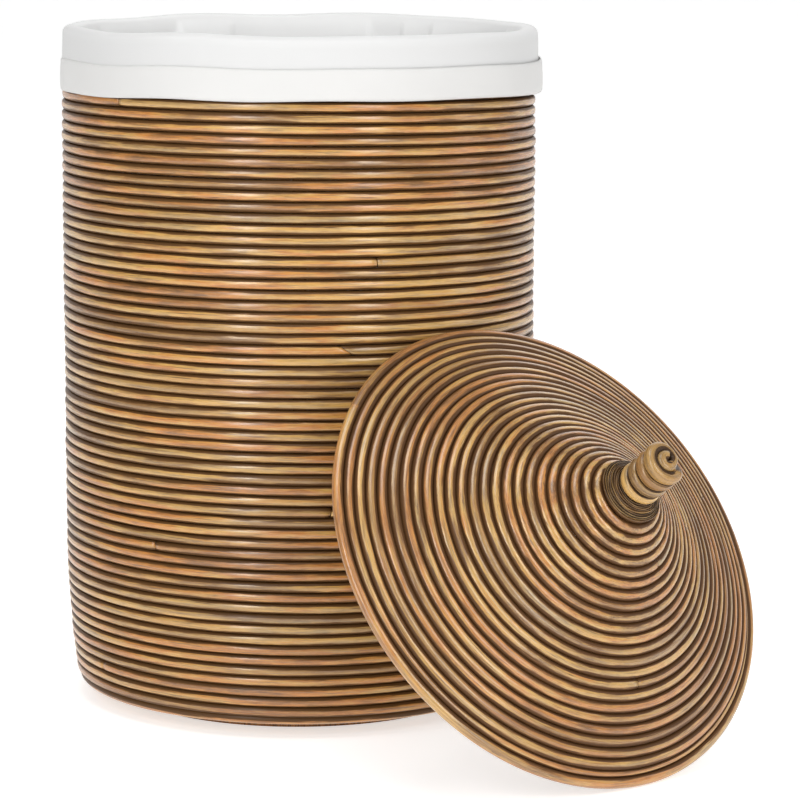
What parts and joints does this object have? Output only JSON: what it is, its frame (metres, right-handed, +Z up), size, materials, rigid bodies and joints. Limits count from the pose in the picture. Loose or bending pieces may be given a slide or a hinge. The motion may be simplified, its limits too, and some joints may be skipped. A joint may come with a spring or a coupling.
{
  "type": "laundry basket",
  "caption": "Tall round laundry basket of coiled rattan pole, with a conical knobbed lid that lifts off and a fabric liner whose cuff turns down over the rim",
  "frame": {"origin": "centre of the foot ring's underside, on the floor, on the basket's axis", "axes": "+Z up along the basket's axis, -Y the front, +X to the right seen from the front; the lid leans at the front right"},
  "size_m": [0.5716, 0.6002, 0.5612],
  "materials": {
    "rattan_pole": "lacquered, streaky golden brown with dark grooves",
    "rattan_lid": "lacquered, streaky golden brown",
    "rattan_split": "split rattan, matt inner side",
    "rattan_peel": "thin glossy peel",
    "turned_wood": "plain sanded",
    "steel": "bright wire",
    "cotton": "plain woven white cotton, softly creased",
    "cotton_hem": "the same cotton, doubled and stitched",
    "elastic": "braided elastic"
  },
  "bodies": {
    "basket": {"wall_pole_01": "rattan_pole", "wall_pole_02": "rattan_pole", "wall_pole_03": "rattan_pole", "wall_pole_04": "rattan_pole", "wall_pole_05": "rattan_pole", "wall_pole_06": "rattan_pole", "wall_pole_07": "rattan_pole", "wall_pole_08": "rattan_pole", "wall_pole_09": "rattan_pole", "wall_pole_10": "rattan_pole", "wall_pole_11": "rattan_pole", "wall_pole_12": "rattan_pole", "wall_pole_13": "rattan_pole", "wall_pole_14": "rattan_pole", "base_pole_01": "rattan_pole", "base_pole_02": "rattan_pole", "base_pole_03": "rattan_pole", "base_eye": "rattan_pole", "foot_ring": "rattan_split", "base_batten_long": "rattan_split", "base_batten_left": "rattan_split", "base_batten_right": "rattan_split", "wall_rib_1": "rattan_split", "wall_rib_2": "rattan_split", "wall_rib_3": "rattan_split", "wall_rib_4": "rattan_split", "wall_rib_5": "rattan_split", "wall_rib_6": "rattan_split", "wall_nails": "steel"},
    "liner": {"liner_bag": "cotton", "liner_cuff": "cotton", "liner_hem": "cotton_hem", "liner_elastic": "elastic"},
    "lid": {"lid_rim_hoop": "rattan_lid", "lid_pole_01": "rattan_lid", "lid_pole_02": "rattan_lid", "lid_pole_03": "rattan_lid", "lid_pole_04": "rattan_lid", "lid_pole_05": "rattan_lid", "lid_seat_ring": "rattan_lid", "lid_rib_1": "rattan_split", "lid_rib_2": "rattan_split", "lid_rib_3": "rattan_split", "lid_rib_4": "rattan_split", "knob_coil": "rattan_lid", "knob_core": "turned_wood", "knob_flange": "turned_wood", "knob_screw": "steel", "knob_neck_binding": "rattan_peel", "knob_eye": "rattan_lid"}
  },
  "joints": [
    {"name": "liner_lift", "type": "slide", "parent": "basket", "child": "liner", "axis": [0, 0, 1], "range_m": [0, 0.56]},
    {"name": "lid_lift", "type": "slide", "parent": "basket", "child": "lid", "axis": [0.4998, -0.6585, 0.5627], "range_m": [0, 0.4]}
  ]
}
